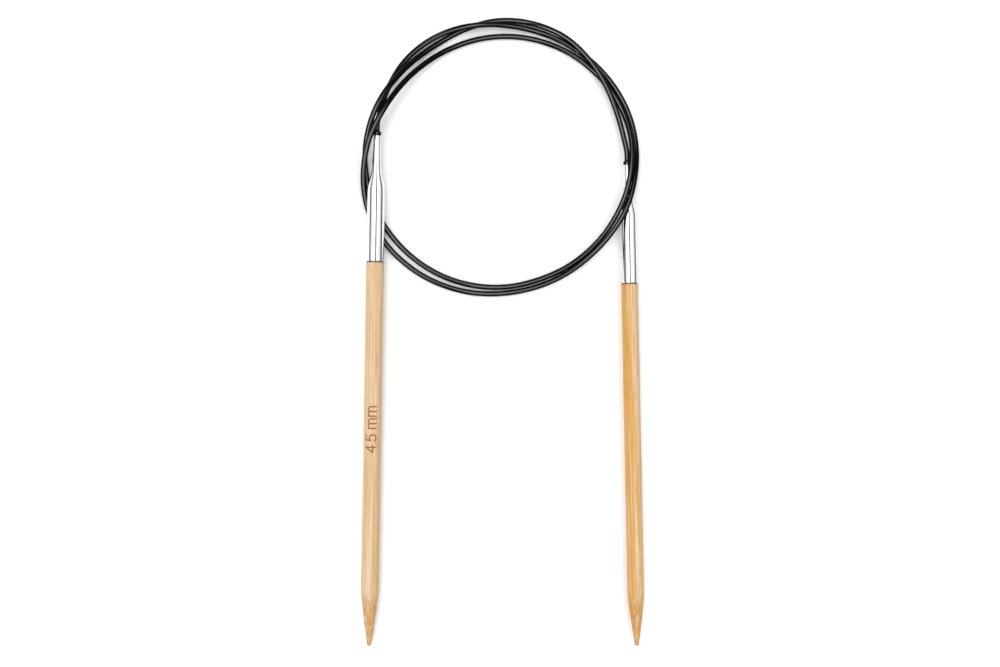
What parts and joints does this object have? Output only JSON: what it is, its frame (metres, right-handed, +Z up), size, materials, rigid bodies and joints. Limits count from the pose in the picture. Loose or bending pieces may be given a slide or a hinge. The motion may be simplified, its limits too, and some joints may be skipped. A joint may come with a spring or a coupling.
{
  "type": "circular knitting needle",
  "caption": "Circular knitting needle: straight bamboo tips with conical points in polished ferrules, on swivels at the ends of a long thin black cord lying in a loose loop.",
  "frame": {"origin": "on the table, under the middle of the two needles' bounding box, measured without the cord", "axes": "the object lies flat as it is laid out: +Z up, -Y towards the points, +Y towards the cord's loop, +X to the right needle"},
  "size_m": [0.0761, 0.168, 0.0068],
  "materials": {
    "bamboo_pale": "fine-sanded, lightly waxed pale bamboo with straight fibres",
    "bamboo_warm": "fine-sanded, lightly waxed warm yellow bamboo with straight fibres",
    "polished_metal": "mirror-polished nickel plate with faint draw marks",
    "pin_steel": "turned steel",
    "black_cord": "smooth glossy black extruded plastic",
    "black_collar": "smooth black moulded plastic"
  },
  "bodies": {
    "cord": {"cord": "black_cord", "cord_collar_left": "black_collar", "cord_collar_right": "black_collar", "swivel_pin_left": "pin_steel", "swivel_pin_right": "pin_steel"},
    "needle_left": {"ferrule_left": "polished_metal", "tip_left": "bamboo_pale"},
    "needle_right": {"ferrule_right": "polished_metal", "tip_right": "bamboo_warm"}
  },
  "joints": [
    {"name": "left_swivel", "type": "hinge", "parent": "cord", "child": "needle_left", "pos_m": [-0.0341, 0.0667, 0.00407], "axis": [-0.014, -0.9998, -0.0156], "continuous": true},
    {"name": "right_swivel", "type": "hinge", "parent": "cord", "child": "needle_right", "pos_m": [0.0333, 0.062, 0.00225], "axis": [0.0209, -0.9998, 0], "continuous": true}
  ]
}
